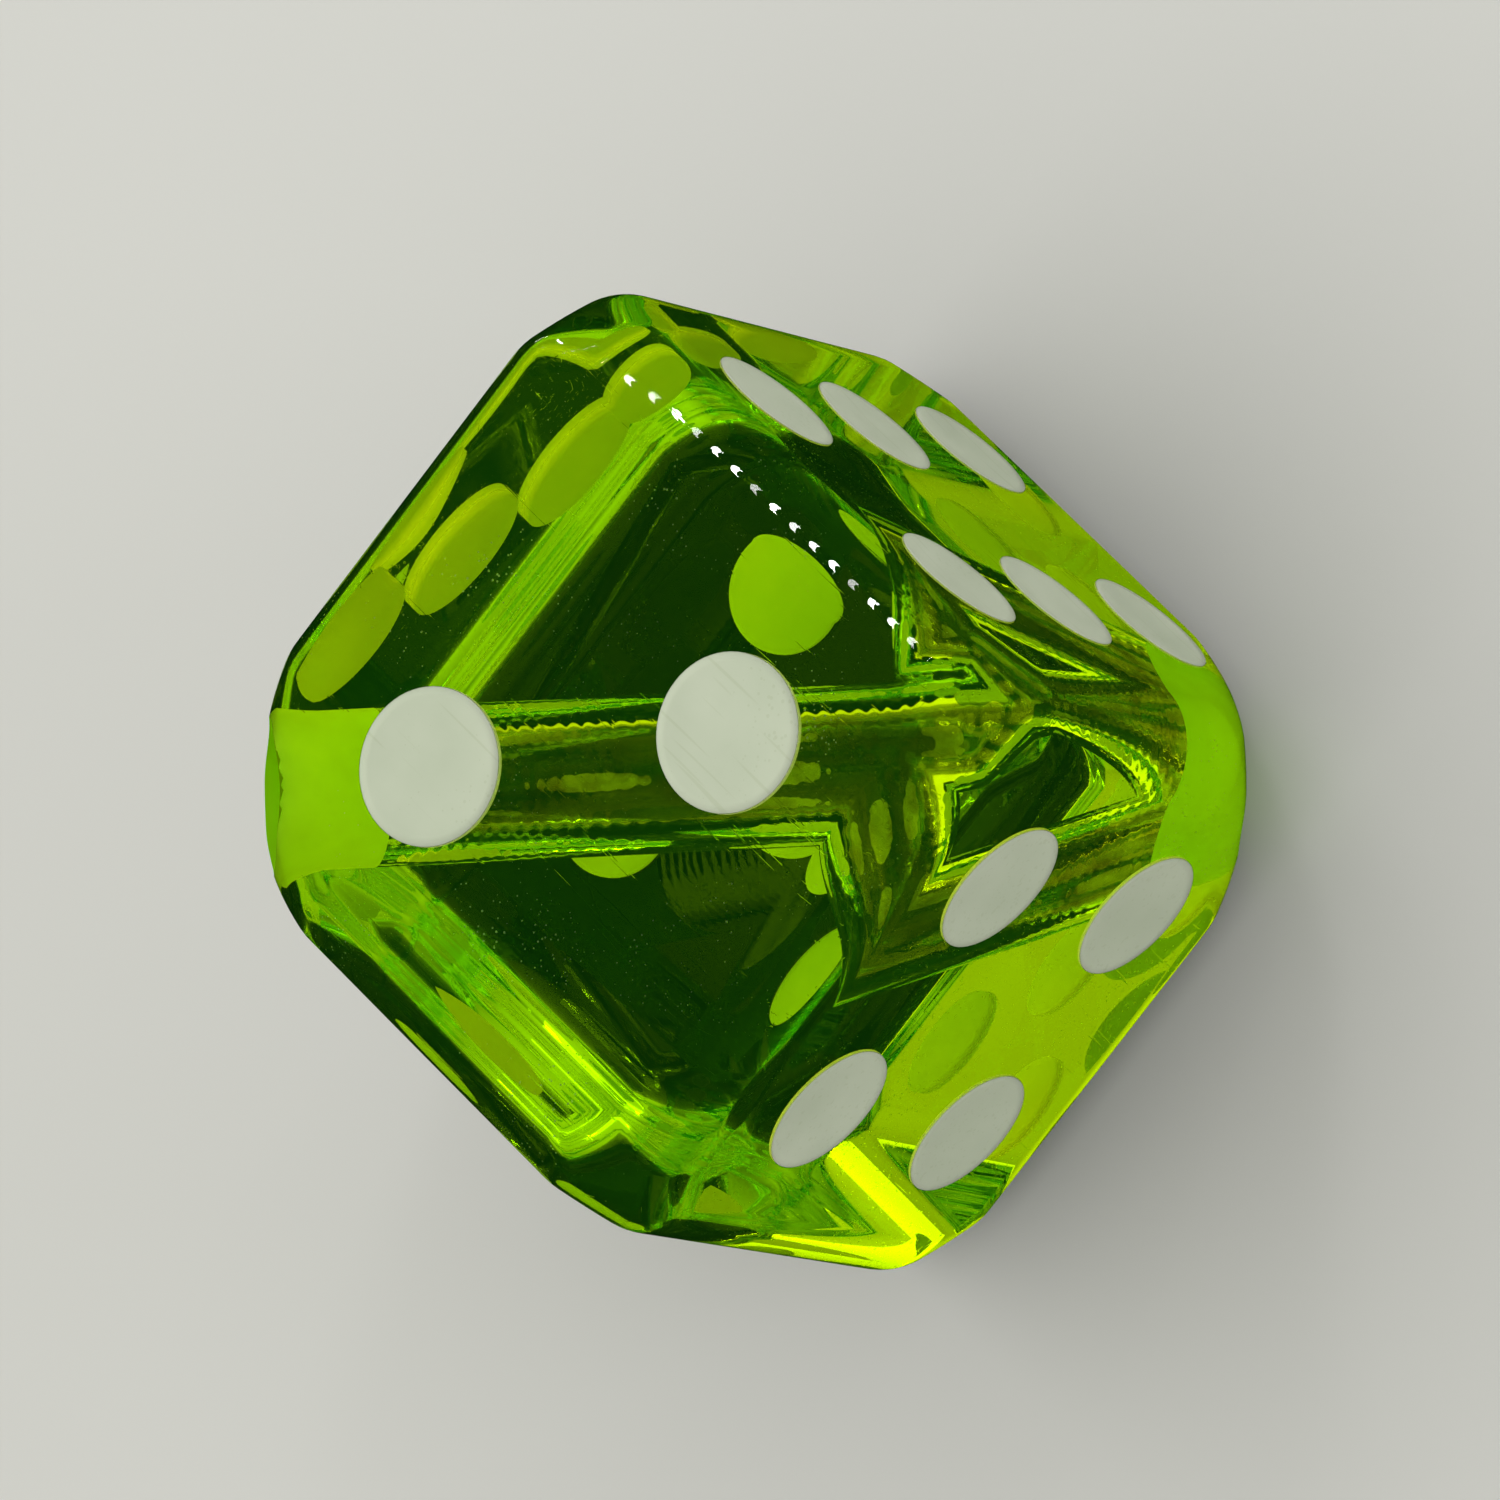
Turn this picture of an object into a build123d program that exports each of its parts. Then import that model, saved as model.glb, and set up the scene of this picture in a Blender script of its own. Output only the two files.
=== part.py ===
from build123d import *
from itertools import product
import os

# A transparent gaming die: one clear body with rounded edges, ball-ground corners and a bore
# drilled through it from corner to corner, and a solid filling in each of its pip recesses.
# Millimetres, +Z up. The origin is the middle of the flat face that the die rests on.
# Opposite faces add up to seven: 2 is up and 5 is down, 4 is +X and 3 is -X, 6 is +Y and 1 is -Y.

os.makedirs("parts", exist_ok=True)

# The body
side = 16.0              # across two opposite flat faces
edge_radius = 1.8        # where two faces meet, and round the rim of each ground corner
corner_ball = 24.0       # the ball that the six plain corners are ground to
bored_corner_ball = 22.2 # the two bored corners are ground a little deeper

# The bore, along the diagonal from the corner of 1, 2 and 3 to the corner of 4, 5 and 6
bore_diameter = 3.6
bore_direction = (1, 1, -1)

# The pips. They are smaller where there are more of them, which keeps the die in balance.
pip_diameter_1 = 3.8
pip_diameter_2 = 3.6
pip_diameter_3 = 3.5
pip_diameter_4 = 3.35
pip_diameter_5 = 2.9
pip_diameter_6 = 3.1
pip_wall_depth = 0.20    # straight wall of a recess, from the flat face to its rounded floor
pip_floor_depth = 0.25   # how far the rounded floor bulges below that wall
pip_dish = 0.06          # how far the middle of the filling has shrunk below the flat face
fill_clearance = 0.0     # the filling is poured in, so it touches its recess everywhere

# How far the outer pips of a face stand from its middle lines
pip_offset_2 = 2.70
pip_offset_3 = 2.85
pip_offset_4 = 3.20
pip_offset_5 = 3.30
pip_row_offset_6 = 3.15      # the two rows of the six
pip_spacing_6 = 4.50         # from one pip to the next within a row of the six

middle = Vector(0, 0, side / 2)


def rounded_body():
    """The ball-ground cube, with every edge rolled over to edge_radius."""
    core_half = side / 2 - edge_radius
    opposite = tuple(-way for way in bore_direction)
    core = Part()
    for corner in product((1, -1), repeat=3):
        ball = bored_corner_ball if corner in (bore_direction, opposite) else corner_ball
        octant = Pos(Vector(*corner) * (core_half / 2)) * Box(core_half, core_half, core_half)
        core += octant & Sphere(ball / 2 - edge_radius)
    return Pos(middle) * offset(core.clean(), amount=edge_radius, kind=Kind.ARC)


def corner_bore():
    """The straight hole from corner to corner, longer than the body is on that diagonal."""
    axis = Plane(origin=middle, z_dir=Vector(*bore_direction))
    return axis * Cylinder(bore_diameter / 2, 2 * side)


def cap_radius(rim_radius, height):
    """Radius of the ball whose cap has this rim and this height."""
    return (rim_radius**2 + height**2) / (2 * height)


def recess(diameter):
    """A drilled recess, +Z out of the face: a straight wall down to a rounded floor."""
    radius = diameter / 2
    floor_radius = cap_radius(radius, pip_floor_depth)
    with BuildPart() as cutter:
        with BuildSketch(Plane.XZ):
            with BuildLine():
                Polyline((0, 0), (radius, 0), (radius, -pip_wall_depth))
                RadiusArc(
                    (radius, -pip_wall_depth),
                    (0, -pip_wall_depth - pip_floor_depth),
                    floor_radius,
                )
                Line((0, -pip_wall_depth - pip_floor_depth), (0, 0))
            make_face()
        revolve(axis=Axis.Z)
    return cutter.part


def filling(diameter):
    """The white filling of a recess, with its outer face dished where it has shrunk."""
    radius = diameter / 2 - fill_clearance
    dish_radius = cap_radius(radius, pip_dish)
    dish_ball = Pos(0, 0, dish_radius - pip_dish) * Sphere(dish_radius)
    return recess(2 * radius) - dish_ball


def square(offset_from_middle):
    """Four places at the corners of a square about the middle of a face."""
    return [(u * offset_from_middle, v * offset_from_middle) for u in (-1, 1) for v in (-1, 1)]


def diagonal_pair(offset_from_middle):
    """Two opposite corners of that square."""
    return [(way * offset_from_middle, way * offset_from_middle) for way in (-1, 1)]


def two_rows():
    """The two rows of three on the six."""
    return [(u * pip_row_offset_6, v * pip_spacing_6) for u in (-1, 1) for v in (-1, 0, 1)]


def face_plane(outward, along):
    """A flat face's own plane, with its origin at the middle of the face."""
    normal = Vector(*outward)
    return Plane(origin=middle + normal * (side / 2), x_dir=along, z_dir=normal)


centre = [(0, 0)]
faces = {
    1: (face_plane((0, -1, 0), (1, 0, 0)), pip_diameter_1, centre),
    2: (face_plane((0, 0, 1), (1, 0, 0)), pip_diameter_2, diagonal_pair(pip_offset_2)),
    3: (face_plane((-1, 0, 0), (0, 1, 0)), pip_diameter_3, centre + diagonal_pair(pip_offset_3)),
    4: (face_plane((1, 0, 0), (0, 1, 0)), pip_diameter_4, square(pip_offset_4)),
    5: (face_plane((0, 0, -1), (1, 0, 0)), pip_diameter_5, centre + square(pip_offset_5)),
    6: (face_plane((0, 1, 0), (1, 0, 0)), pip_diameter_6, two_rows()),
}

blank = rounded_body()
body = blank - corner_bore()
for number, (plane, diameter, places) in faces.items():
    for index, (u, v) in enumerate(places, start=1):
        place = plane * Pos(u, v, 0)
        body -= place * recess(diameter)
        poured = place * filling(diameter) & blank      # sanded off where a corner is ground
        export_step(poured, f"parts/pip_{number}_{index}.step")
export_step(body, "parts/die_body.step")
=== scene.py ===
import bpy, bmesh, math
from mathutils import Matrix, Vector


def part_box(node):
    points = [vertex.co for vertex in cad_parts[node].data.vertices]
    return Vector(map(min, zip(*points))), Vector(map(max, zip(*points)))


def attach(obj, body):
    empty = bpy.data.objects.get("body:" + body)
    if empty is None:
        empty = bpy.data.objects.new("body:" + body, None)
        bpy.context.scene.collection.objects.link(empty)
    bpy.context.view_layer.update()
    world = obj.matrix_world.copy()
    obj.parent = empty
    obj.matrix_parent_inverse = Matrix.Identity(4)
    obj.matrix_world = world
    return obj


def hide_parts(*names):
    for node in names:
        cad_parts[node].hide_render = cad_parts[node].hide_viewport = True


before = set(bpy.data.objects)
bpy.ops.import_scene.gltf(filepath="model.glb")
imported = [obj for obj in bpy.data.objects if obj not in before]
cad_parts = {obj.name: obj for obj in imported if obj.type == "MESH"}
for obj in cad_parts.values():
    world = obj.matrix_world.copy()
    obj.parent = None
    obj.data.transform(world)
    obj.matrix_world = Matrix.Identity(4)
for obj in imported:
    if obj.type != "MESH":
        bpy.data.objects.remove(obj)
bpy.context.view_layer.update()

# THE CLEAR BODY
# The die is one block of yellow-green acrylic, cut to a cube, tumbled until its edges are round,
# ground to a ball at each corner, drilled for its pips and bored from corner to corner.
die_low, die_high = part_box("die_body")
side = die_high.x - die_low.x
middle = (die_low + die_high) / 2
edge_radius = 0.0018
corner_ball = 0.0240
bored_corner_ball = 0.0222
bore_radius = 0.0018
bore_axis = Vector((1, 1, -1)).normalized()     # from the corner of 1, 2, 3 to that of 4, 5, 6
bore_mouth = math.sqrt((bored_corner_ball / 2)**2 - bore_radius**2)    # from the middle of the die
frosted_length = 0.0030                         # where the drill entered and broke through


def core_point(place):
    """The point of the ground cube, taken in by edge_radius, that lies nearest to place."""
    core_half = side / 2 - edge_radius
    bored = sum(way > 0 for way in (place.x, place.y, -place.z)) in (0, 3)
    core_ball = (bored_corner_ball if bored else corner_ball) / 2 - edge_radius

    def shrunk(pull):
        return Vector([max(-core_half, min(core_half, way / (1 + pull))) for way in place])

    nearest = shrunk(0)
    if nearest.length <= core_ball:
        return nearest
    low, high = 0.0, 2.0
    for _ in range(40):
        pull = (low + high) / 2
        if shrunk(pull).length > core_ball:
            low = pull
        else:
            high = pull
    return shrunk(high)


def tumbled(place):
    """The same place on the finished outside."""
    core = core_point(place)
    return core + (place - core).normalized() * edge_radius


block = bmesh.new()
bmesh.ops.create_cube(block, size=side)
block_cuts = 79          # 80 squares along each side keep the rounded edges smooth
bmesh.ops.subdivide_edges(block, edges=block.edges[:], cuts=block_cuts, use_grid_fill=True)
for vert in block.verts:
    vert.co = tumbled(vert.co) + middle
body_mesh = bpy.data.meshes.new("clear_body")
block.to_mesh(body_mesh)
block.free()
body = bpy.data.objects.new("clear_body", body_mesh)
bpy.context.scene.collection.objects.link(body)


def turned(outline, steps=64):
    """A turned solid about Z from an outline of (radius, height), top to bottom."""
    work = bmesh.new()
    points = [work.verts.new((radius, 0, height)) for radius, height in outline]
    lines = [work.edges.new(pair) for pair in zip(points, points[1:])]
    bmesh.ops.spin(work, geom=points + lines, cent=(0, 0, 0), axis=(0, 0, 1),
                   angle=math.tau, steps=steps, use_merge=True)
    bmesh.ops.remove_doubles(work, verts=work.verts[:], dist=1e-7)
    bmesh.ops.recalc_face_normals(work, faces=work.faces[:])
    return work


def bowl(radius, depth, sag, rings=10):
    """The outline of a round floor, from its rim at depth in to its middle, sag deeper."""
    ball = (radius**2 + sag**2) / (2 * sag)
    outline = []
    for ring in range(rings + 1):
        out = radius * (1 - ring / rings)
        outline.append((out, -depth - math.sqrt(ball**2 - out**2) + ball - sag))
    return outline


recess_wall = 0.00020    # the straight wall of a pip's recess; its floor is round below that
pips = {}
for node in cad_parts:
    if not node.startswith("pip_"):
        continue
    low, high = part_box(node)
    size = high - low
    thin = min(range(3), key=lambda way: size[way])
    outward = Vector((0, 0, 0))
    outward[thin] = 1 if (low + high)[thin] / 2 > middle[thin] else -1
    across = size[(thin + 1) % 3]
    centre = (low + high) / 2 + outward * (size[thin] / 2)
    turn = outward.to_track_quat("Z", "Y").to_matrix().to_4x4()
    pips[node] = (across / 2, size[thin], Matrix.Translation(centre) @ turn)

cutters = bmesh.new()


def add_cutter(work, place):
    """Moves one drill's shape to its place and adds it to the cutters."""
    bmesh.ops.transform(work, matrix=place, verts=work.verts[:])
    drill = bpy.data.meshes.new("drill")
    work.to_mesh(drill)
    cutters.from_mesh(drill)
    bpy.data.meshes.remove(drill)
    work.free()


drill_above = 0.0003     # how far a drill's shape stands out of the flat face
for radius, depth, place in pips.values():
    outline = [(0, drill_above), (radius, drill_above)]
    outline += bowl(radius, recess_wall, depth - recess_wall)
    add_cutter(turned(outline), place)
frost_end = bore_mouth - frosted_length
bore_outline = [(0, side), (bore_radius, side), (bore_radius, frost_end)]
bore_outline += [(bore_radius, -frost_end), (bore_radius, -side), (0, -side)]
bore_turn = bore_axis.to_track_quat("Z", "Y").to_matrix().to_4x4()
bore_steps = 128
add_cutter(turned(bore_outline, bore_steps), Matrix.Translation(middle) @ bore_turn)
cutter_mesh = bpy.data.meshes.new("drills")
cutters.to_mesh(cutter_mesh)
cutters.free()
cutter = bpy.data.objects.new("drills", cutter_mesh)
bpy.context.scene.collection.objects.link(cutter)
drilling = body.modifiers.new("drilling", "BOOLEAN")
drilling.operation = "DIFFERENCE"
drilling.solver = "MANIFOLD"
drilling.object = cutter
depsgraph = bpy.context.evaluated_depsgraph_get()
drilled = bpy.data.meshes.new_from_object(body.evaluated_get(depsgraph))
body.modifiers.clear()
body.data = drilled
drilled.name = "clear_body"
bpy.data.objects.remove(cutter)
bpy.data.meshes.remove(body_mesh)

# Each corner of a face is shaded with the true direction of the surface that it lies on.
round_off = 2e-6         # metres
shading = []
torn_faces = []
for face in drilled.polygons:
    face.use_smooth = True
    places = [drilled.vertices[index].co - middle for index in face.vertices]
    outs = [place - core_point(place) for place in places]
    outside = all(
        abs(out.length - edge_radius) < round_off and out.normalized().dot(face.normal) > 0.9
        for out in outs
    )
    along = bore_axis.dot(face.center - middle)
    from_axis = (face.center - middle - bore_axis * along).length
    in_bore = not outside and abs(from_axis - bore_radius) < 0.02 * bore_radius
    torn_faces += [face.index] if in_bore and abs(along) > frost_end else []
    for place, out in zip(places, outs):
        if outside:
            shading.append(out.normalized())
        elif in_bore:
            shading.append((bore_axis * bore_axis.dot(place) - place).normalized())
        else:
            shading.append(face.normal.copy())
drilled.normals_split_custom_set(shading)


def new_material(name):
    """A material with its own shader and a way to add and join nodes."""
    material = bpy.data.materials.new(name)
    material.use_nodes = True
    return material, material.node_tree, material.node_tree.nodes["Principled BSDF"]


def add(tree, kind, **values):
    """A node with its settings and its unlinked sockets filled in."""
    node = tree.nodes.new("ShaderNode" + kind)
    for name, value in values.items():
        if name.startswith("set_"):
            setattr(node, name[4:], value)
        elif hasattr(value, "is_output"):
            tree.links.new(value, node.inputs[int(name[3:])])
        else:
            node.inputs[int(name[3:])].default_value = value
    return node.outputs[0]


def handling_marks():
    """Hairline scratches and specks of dust, as two masks, for every surface of the die."""
    group = bpy.data.node_groups.new("handling marks", "ShaderNodeTree")
    for name, way in (
        ("Speck size", "INPUT"), ("Dustiness", "INPUT"), ("Specks", "OUTPUT"), ("Scratches", "OUTPUT"),
    ):
        group.interface.new_socket(name, in_out=way, socket_type="NodeSocketFloat")
    into = group.nodes.new("NodeGroupInput")
    out = group.nodes.new("NodeGroupOutput")
    place = group.nodes.new("ShaderNodeTexCoord").outputs["Object"]
    fineness = add(group, "Math", set_operation="DIVIDE", in_0=1.0, in_1=into.outputs[0])
    specks = group.nodes.new("ShaderNodeTexVoronoi")
    group.links.new(place, specks.inputs["Vector"])
    group.links.new(fineness, specks.inputs["Scale"])
    patchy = add(group, "TexNoise", in_0=place, in_2=420.0, in_3=3.0)
    rich = add(group, "MapRange", in_0=patchy, in_1=0.45, in_2=0.7, in_3=0.0, in_4=0.32)
    reach = add(group, "Math", set_operation="MULTIPLY", in_0=rich, in_1=into.outputs[1])
    near = specks.outputs["Distance"]
    speck = add(group, "Math", set_operation="LESS_THAN", in_0=near, in_1=reach)
    group.links.new(speck, out.inputs["Specks"])
    lines = []
    for turn, stretch in ((0.6, 160.0), (2.1, 220.0)):
        slide = group.nodes.new("ShaderNodeMapping")
        slide.inputs["Rotation"].default_value = (turn, turn * 1.7, turn * 0.6)
        slide.inputs["Scale"].default_value = (stretch, 7000.0, 7000.0)
        group.links.new(place, slide.inputs["Vector"])
        hair = add(group, "TexNoise", in_0=slide.outputs[0], in_2=1.0, in_3=0.0)
        lines.append(add(group, "MapRange", in_0=hair, in_1=0.74, in_2=0.78, in_3=0.0, in_4=1.0))
    scratched = add(group, "Math", set_operation="MAXIMUM", in_0=lines[0], in_1=lines[1])
    group.links.new(scratched, out.inputs["Scratches"])
    return group


marks = handling_marks()


def add_marks(tree, speck_size, dustiness):
    """The handling marks in one material, with that material's own values."""
    node = tree.nodes.new("ShaderNodeGroup")
    node.node_tree = marks
    node.inputs["Speck size"].default_value = speck_size
    node.inputs["Dustiness"].default_value = dustiness
    return node.outputs["Specks"], node.outputs["Scratches"]


def relief(tree, shader, height, strength, depth):
    """Gives a material a fine relief from a height between 0 and 1."""
    bump = tree.nodes.new("ShaderNodeBump")
    bump.inputs["Strength"].default_value = strength
    bump.inputs["Distance"].default_value = depth
    tree.links.new(height, bump.inputs["Height"])
    tree.links.new(bump.outputs[0], shader.inputs["Normal"])


# The acrylic takes out nearly all blue light in the first millimetre, and red slowly.
acrylic, tree, shader = new_material("yellow-green acrylic")
shader.inputs["Transmission Weight"].default_value = 1.0
shader.inputs["IOR"].default_value = 1.49
shader.inputs["Emission Strength"].default_value = 1.0
dye = tree.nodes.new("ShaderNodeVolumeAbsorption")
dye.inputs["Color"].default_value = (0.968, 0.990, 0.0, 1)
dye.inputs["Density"].default_value = 1100.0
tree.links.new(dye.outputs[0], tree.nodes["Material Output"].inputs["Volume"])
specks, scratches = add_marks(tree, 0.00015, 0.6)
place = tree.nodes.new("ShaderNodeTexCoord").outputs["Object"]
from_middle = add(tree, "VectorMath", set_operation="SUBTRACT", in_0=place, in_1=middle)
crossed = add(tree, "VectorMath", set_operation="CROSS_PRODUCT", in_0=from_middle, in_1=bore_axis)
length = tree.nodes.new("ShaderNodeVectorMath")
length.operation = "LENGTH"
tree.links.new(crossed, length.inputs[0])
off_axis = length.outputs["Value"]
bored = add(tree, "Math", set_operation="LESS_THAN", in_0=off_axis, in_1=bore_radius * 1.01)
# A patchy brown film lines the bore, and the drill has left it finely ridged.
film = add(tree, "TexNoise", in_0=place, in_2=900.0, in_3=4.0)
streaked = add(tree, "MapRange", in_0=film, in_1=0.25, in_2=0.65, in_3=0.3, in_4=1.0)
grime = add(tree, "Math", set_operation="MULTIPLY", in_0=streaked, in_1=bored)
wall_tint = add(tree, "MixRGB", in_0=grime, in_1=(1, 1, 1, 1), in_2=(0.13, 0.07, 0.0, 1))
tree.links.new(wall_tint, shader.inputs["Base Color"])
ridges = tree.nodes.new("ShaderNodeTexWave")
ridges.wave_type = "RINGS"
ridges.rings_direction = "SPHERICAL"
tree.links.new(from_middle, ridges.inputs["Vector"])
ridges.inputs["Scale"].default_value = 900.0
ridges.inputs["Distortion"].default_value = 3.0
ridged = add(tree, "Math", set_operation="MULTIPLY", in_0=ridges.outputs["Fac"], in_1=bored)
height = add(tree, "Math", set_operation="MULTIPLY_ADD", in_0=scratches, in_1=-0.15, in_2=ridged)
relief(tree, shader, height, 0.25, 0.00002)
hazed = add(tree, "Math", set_operation="MULTIPLY", in_0=specks, in_1=0.45)
tree.links.new(hazed, shader.inputs["Roughness"])
# An even, faint green emission on every surface of the body stands in for the dye's fluorescence, as
# painted light, and specks of dust get a brighter painted glint.
painted_body_glow = add(tree, "MixRGB", in_0=specks, in_1=(0.0013, 0.0115, 0.0006, 1), in_2=(0.005, 0.022, 0.0, 1))
tree.links.new(painted_body_glow, shader.inputs["Emission Color"])

# The first and last few millimetres of the bore are torn and lime, and their lime emission is painted
# light, standing in for light that reaches them through the acrylic.
frosted, tree, shader = new_material("torn bore wall")
shader.inputs["Metallic"].default_value = 1.0
shader.inputs["Roughness"].default_value = 1.0
place = tree.nodes.new("ShaderNodeTexCoord").outputs["Object"]
torn = add(tree, "TexNoise", in_0=place, in_2=700.0, in_3=3.0)
torn_colour = add(tree, "MixRGB", in_0=torn, in_1=(0.62, 0.82, 0.05, 1), in_2=(0.78, 1.0, 0.10, 1))
tree.links.new(torn_colour, shader.inputs["Base Color"])
# Painted light: this emission makes the torn wall shine lime without a lamp.
shader.inputs["Emission Strength"].default_value = 1.0
painted_torn_shine = add(tree, "MixRGB", in_0=torn, in_1=(0.07, 0.17, 0.0, 1), in_2=(0.10, 0.23, 0.0, 1))
tree.links.new(painted_torn_shine, shader.inputs["Emission Color"])
drilled.materials.clear()
drilled.materials.append(acrylic)
drilled.materials.append(frosted)
for index in torn_faces:
    drilled.polygons[index].material_index = 1
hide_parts("die_body")
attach(body, "root")

# THE PIPS
# Each recess is filled flush with white paint, which shrinks a little as it dries, so its face
# is slightly dished. The back has wetted the acrylic; its lime emission seen through it is painted
# light, standing in for light that reaches it through the body.
paint_dish = 0.00006
bond = 0.000008          # how far the paint has bitten into the acrylic, which leaves no air gap

paint, tree, shader = new_material("white pip paint")
specks, scratches = add_marks(tree, 0.00016, 0.9)
place = tree.nodes.new("ShaderNodeTexCoord").outputs["Object"]
cloudy = add(tree, "TexNoise", in_0=place, in_2=500.0, in_3=4.0)
clouds = add(tree, "MixRGB", in_0=cloudy, in_1=(0.49, 0.56, 0.41, 1), in_2=(0.63, 0.68, 0.54, 1))
worn = add(tree, "Math", set_operation="MAXIMUM", in_0=specks, in_1=scratches)
dirty = add(tree, "Math", set_operation="MULTIPLY", in_0=worn, in_1=0.16)
colour = add(tree, "MixRGB", in_0=dirty, in_1=clouds, in_2=(0.30, 0.36, 0.16, 1))
tree.links.new(colour, shader.inputs["Base Color"])
grain = add(tree, "TexNoise", in_0=place, in_2=6000.0, in_3=2.0)
matt = add(tree, "MapRange", in_0=cloudy, in_1=0.3, in_2=0.7, in_3=0.5, in_4=0.72)
tree.links.new(matt, shader.inputs["Roughness"])
relief(tree, shader, grain, 0.3, 0.00001)

backing, tree, shader = new_material("back of the pip paint")
shader.inputs["Metallic"].default_value = 1.0
shader.inputs["Roughness"].default_value = 1.0
place = tree.nodes.new("ShaderNodeTexCoord").outputs["Object"]
cloudy = add(tree, "TexNoise", in_0=place, in_2=500.0, in_3=3.0)
clouds = add(tree, "MixRGB", in_0=cloudy, in_1=(0.86, 0.90, 0.80, 1), in_2=(1.0, 1.0, 0.95, 1))
tree.links.new(clouds, shader.inputs["Base Color"])
# Painted light: this emission makes the back of the paint shine lime without a lamp.
shader.inputs["Emission Strength"].default_value = 1.0
painted_back_shine = add(tree, "MixRGB", in_0=cloudy, in_1=(0.10, 0.14, 0.0, 1), in_2=(0.14, 0.18, 0.0, 1))
tree.links.new(painted_back_shine, shader.inputs["Emission Color"])

dish_rings = 8
for node, (radius, depth, place) in pips.items():
    rim = radius + bond
    dished = []
    for ring in range(dish_rings + 1):
        out = ring / dish_rings
        dished.append((rim * out, paint_dish * (out**2 - 1)))
    back = bowl(rim, recess_wall, depth - recess_wall)
    work = turned(dished + [(out, height - bond) for out, height in back])
    for face in work.faces:
        face.material_index = int(face.normal.z < 0.5)
        face.smooth = True
    bmesh.ops.transform(work, matrix=place, verts=work.verts[:])
    filling_mesh = bpy.data.meshes.new("filling_" + node[4:])
    work.to_mesh(filling_mesh)
    work.free()
    filling_mesh.materials.append(paint)
    filling_mesh.materials.append(backing)
    filling = bpy.data.objects.new("filling_" + node[4:], filling_mesh)
    bpy.context.scene.collection.objects.link(filling)
    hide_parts(node)
    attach(filling, "root")

# THE BENCH
# The die lies on its five in the middle of a plain pale sheet, in soft light from all round,
# and is seen from above through a long lens, with the bore lying level across the picture.
sheet_half = 4.0
work = bmesh.new()
bmesh.ops.create_grid(work, x_segments=1, y_segments=1, size=sheet_half)
sheet_mesh = bpy.data.meshes.new("sheet")
work.to_mesh(sheet_mesh)
work.free()
sheet = bpy.data.objects.new("sheet", sheet_mesh)
bpy.context.scene.collection.objects.link(sheet)
sheet_gap = 0.00002
sheet.location.z = -sheet_gap
sheet.visible_transmission = False    # through the die, and in its mirror, the ground is dark
sheet.visible_glossy = False
pale, tree, shader = new_material("pale sheet")
shader.inputs["Base Color"].default_value = (0.72, 0.72, 0.70, 1)
shader.inputs["Roughness"].default_value = 0.9
sheet_mesh.materials.append(pale)

azimuth = math.radians(118.96)
elevation = math.radians(59.82)
roll = math.radians(-78.07)
distance = 0.36114
slide_right, slide_up = -0.000106, 0.000822
back = Vector((
    math.sin(azimuth) * math.cos(elevation),
    -math.cos(azimuth) * math.cos(elevation),
    math.sin(elevation),
))
level_up = (Vector((0, 0, 1)) - back * back.z).normalized()
level_right = level_up.cross(back)
right = level_right * math.cos(roll) + level_up * math.sin(roll)
up = back.cross(right)
lens = bpy.data.cameras.new("camera")
lens.sensor_width = 36
lens.lens = 384
lens.clip_start = 0.01
lens.clip_end = 10
camera = bpy.data.objects.new("camera", lens)
bpy.context.scene.collection.objects.link(camera)
stand = Matrix((right, up, back)).transposed().to_4x4()
stand.translation = middle + back * distance + right * slide_right + up * slide_up
camera.matrix_world = stand
bpy.context.scene.camera = camera


def softbox(name, towards, away, width, strength):
    """A square soft light that faces the die from a direction."""
    light = bpy.data.lights.new(name, "AREA")
    light.shape = "SQUARE"
    light.size = width
    light.energy = strength
    lamp = bpy.data.objects.new(name, light)
    bpy.context.scene.collection.objects.link(lamp)
    lamp.visible_camera = False
    turn = towards.normalized().to_track_quat("Z", "Y").to_matrix().to_4x4()
    lamp.matrix_world = Matrix.Translation(middle + towards.normalized() * away) @ turn
    return lamp


key = softbox("key", back * 0.6 - right * 1.0 + up * 0.25, 0.30, 0.14, 0.04)
key.visible_glossy = False
key.visible_transmission = False
fill = softbox("fill", Vector((0.70, 0.70, 0.20)), 0.25, 0.10, 0.12)
fill.visible_glossy = False
fill.visible_transmission = False
glint = softbox("glint", Vector((-0.45, 0.50, 0.74)), 0.25, 0.13, 0.08)
glint.visible_glossy = False
glint.visible_diffuse = False

# The room is brightest on the side that the light comes from, dimmer overhead, and dark below
# the horizon, which is what shows through the bottom of the die.
world = bpy.data.worlds.new("soft room")
world.use_nodes = True
bpy.context.scene.world = world
world.cycles_visibility.glossy = False    # the die mirrors only the row of small lamps
tree = world.node_tree
towards = tree.nodes.new("ShaderNodeTexCoord").outputs["Generated"]
parts = tree.nodes.new("ShaderNodeSeparateXYZ")
tree.links.new(towards, parts.inputs[0])
low_down = add(tree, "MapRange", in_0=parts.outputs["Z"], in_1=0.62, in_2=0.82, in_3=1.0, in_4=0.4)
lit_side = tree.nodes.new("ShaderNodeVectorMath")
lit_side.operation = "DOT_PRODUCT"
lit_side.inputs[1].default_value = -right
tree.links.new(towards, lit_side.inputs[0])
facing = lit_side.outputs["Value"]
sideways = add(tree, "MapRange", in_0=facing, in_1=-0.8, in_2=0.8, in_3=0.15, in_4=1.6)
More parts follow.
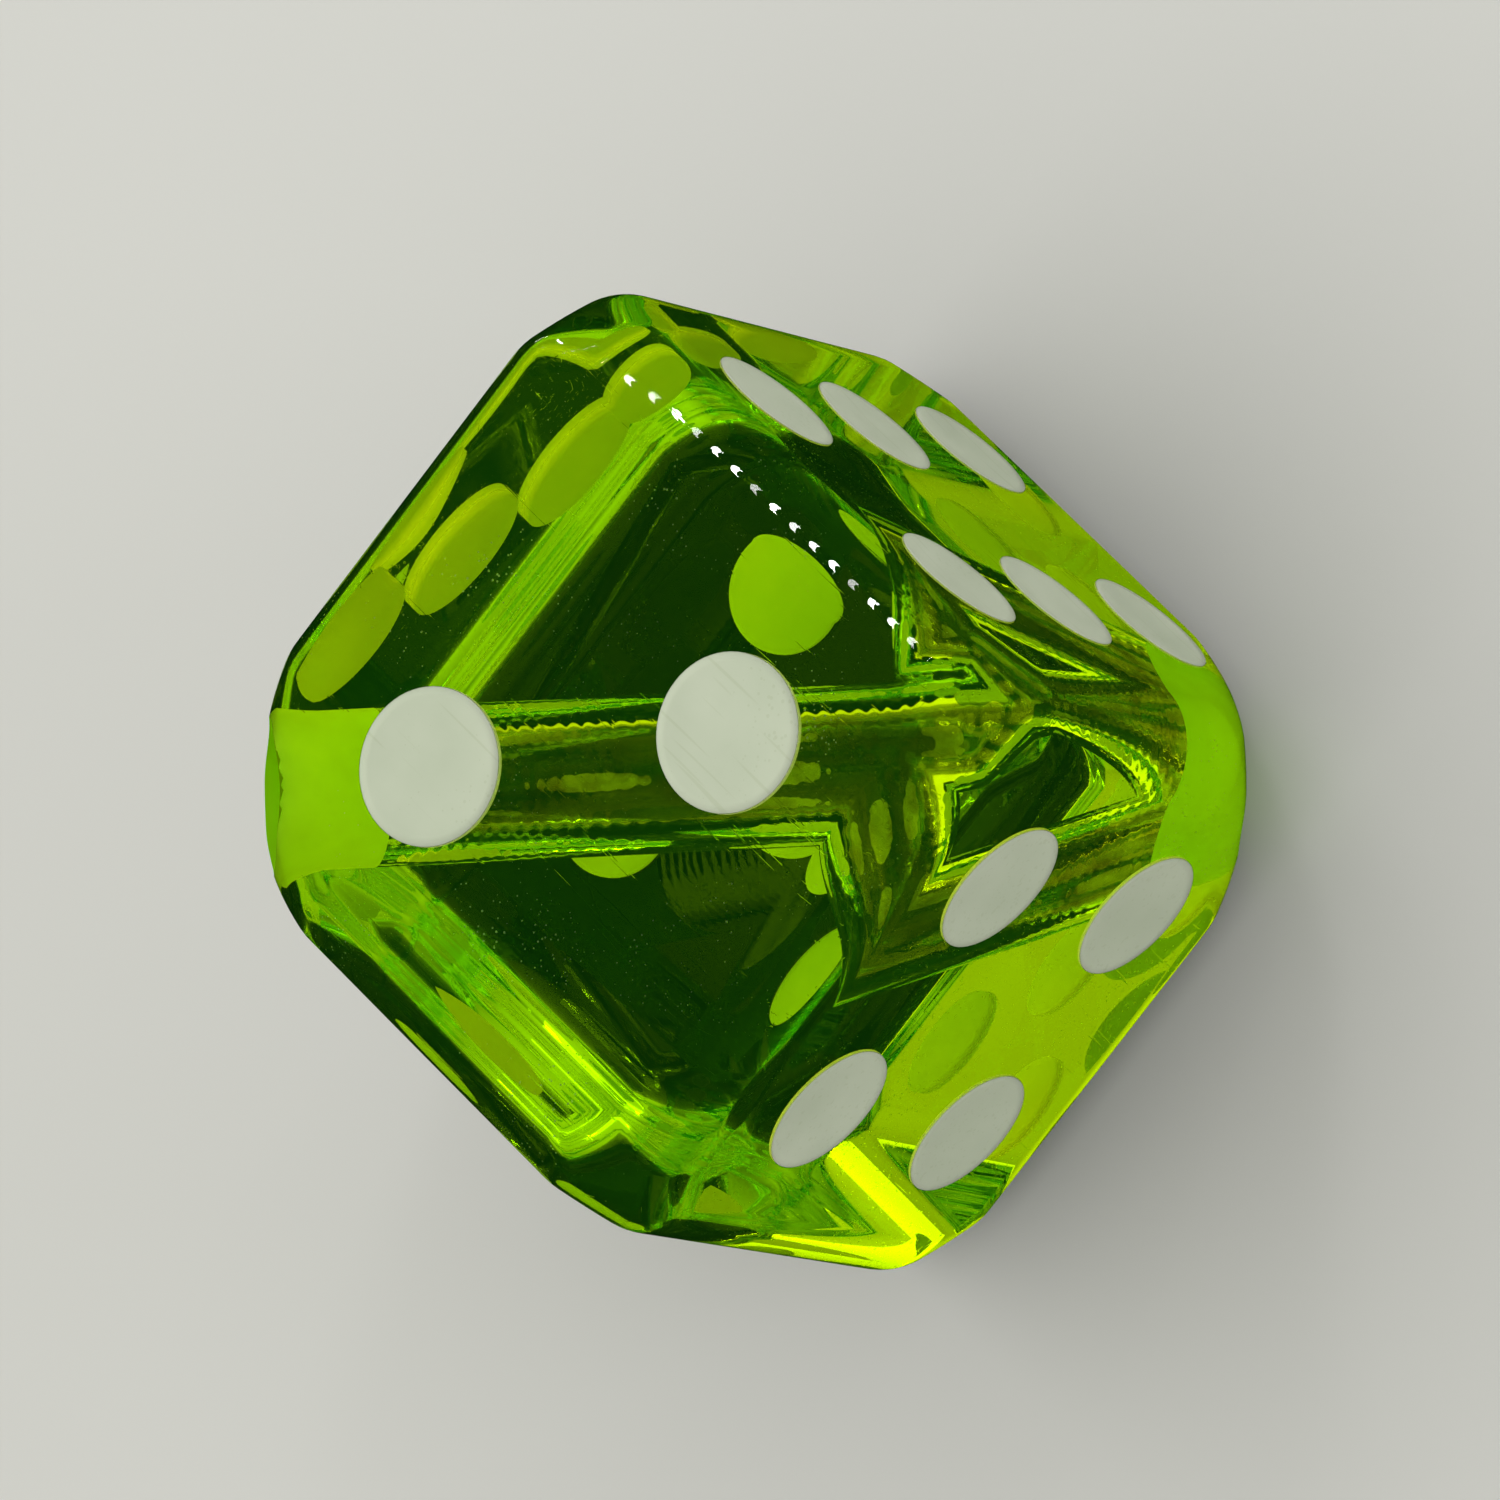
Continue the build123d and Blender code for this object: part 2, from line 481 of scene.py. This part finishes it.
skyward = add(tree, "MapRange", in_0=parts.outputs["Z"], in_1=-0.02, in_2=0.02, in_3=0.0, in_4=1.0)
lit = add(tree, "Math", set_operation="MULTIPLY", in_0=low_down, in_1=sideways)
strength = add(tree, "Math", set_operation="MULTIPLY", in_0=lit, in_1=skyward)
tree.nodes["Background"].inputs["Color"].default_value = (1.0, 1.0, 0.94, 1)
tree.links.new(strength, tree.nodes["Background"].inputs["Strength"])

# A curved row of small lamps over the die, which shows as a string of dots along the edge
# between the two and the six and round the corner beyond it.
lamp_count = 20
lamp_away = 0.060
lamp_size = (0.00022, 0.010)
lamp_energy = 0.0004
row_start = Vector((5.4, 7.1, 7.9))
row_bend = Vector((-3.0, 7.1, 7.9))
row_end = Vector((-6.9, 5.6, 7.0))
eye = camera.matrix_world.translation - middle
for number in range(lamp_count):
    run = number / (lamp_count - 1) * 1.5
    leg = row_start.lerp(row_bend, run) if run < 1 else row_bend.lerp(row_end, 2 * run - 2)
    cube_place = leg * (side / 2 / max(leg))
    core = core_point(cube_place)
    normal = (cube_place - core).normalized()
    dot = core + normal * edge_radius
    sight = (dot - eye).normalized()
    mirrored = sight.reflect(normal)
    light = bpy.data.lights.new(f"lamp_{number}", "AREA")
    light.shape = "RECTANGLE"
    light.size, light.size_y = lamp_size
    light.energy = lamp_energy * (0.6 + 0.4 * math.cos(2.4 * number))    # no two are alike
    lamp = bpy.data.objects.new(f"lamp_{number}", light)
    bpy.context.scene.collection.objects.link(lamp)
    lamp.visible_camera = False
    across = mirrored.cross(Vector((1, 0, 0))).cross(mirrored).normalized()
    frame_axes = Matrix((across, mirrored.cross(across), mirrored)).transposed().to_4x4()
    frame_axes.translation = middle + dot + mirrored * lamp_away
    lamp.matrix_world = frame_axes

# The light that the body would throw on the sheet under it is left out.
scene = bpy.context.scene
scene.view_settings.view_transform = "Standard"
bounces = 24
scene.cycles.max_bounces = bounces
scene.cycles.transmission_bounces = bounces
scene.cycles.glossy_bounces = bounces
scene.cycles.caustics_refractive = False
scene.cycles.caustics_reflective = False
scene.cycles.use_denoising = True
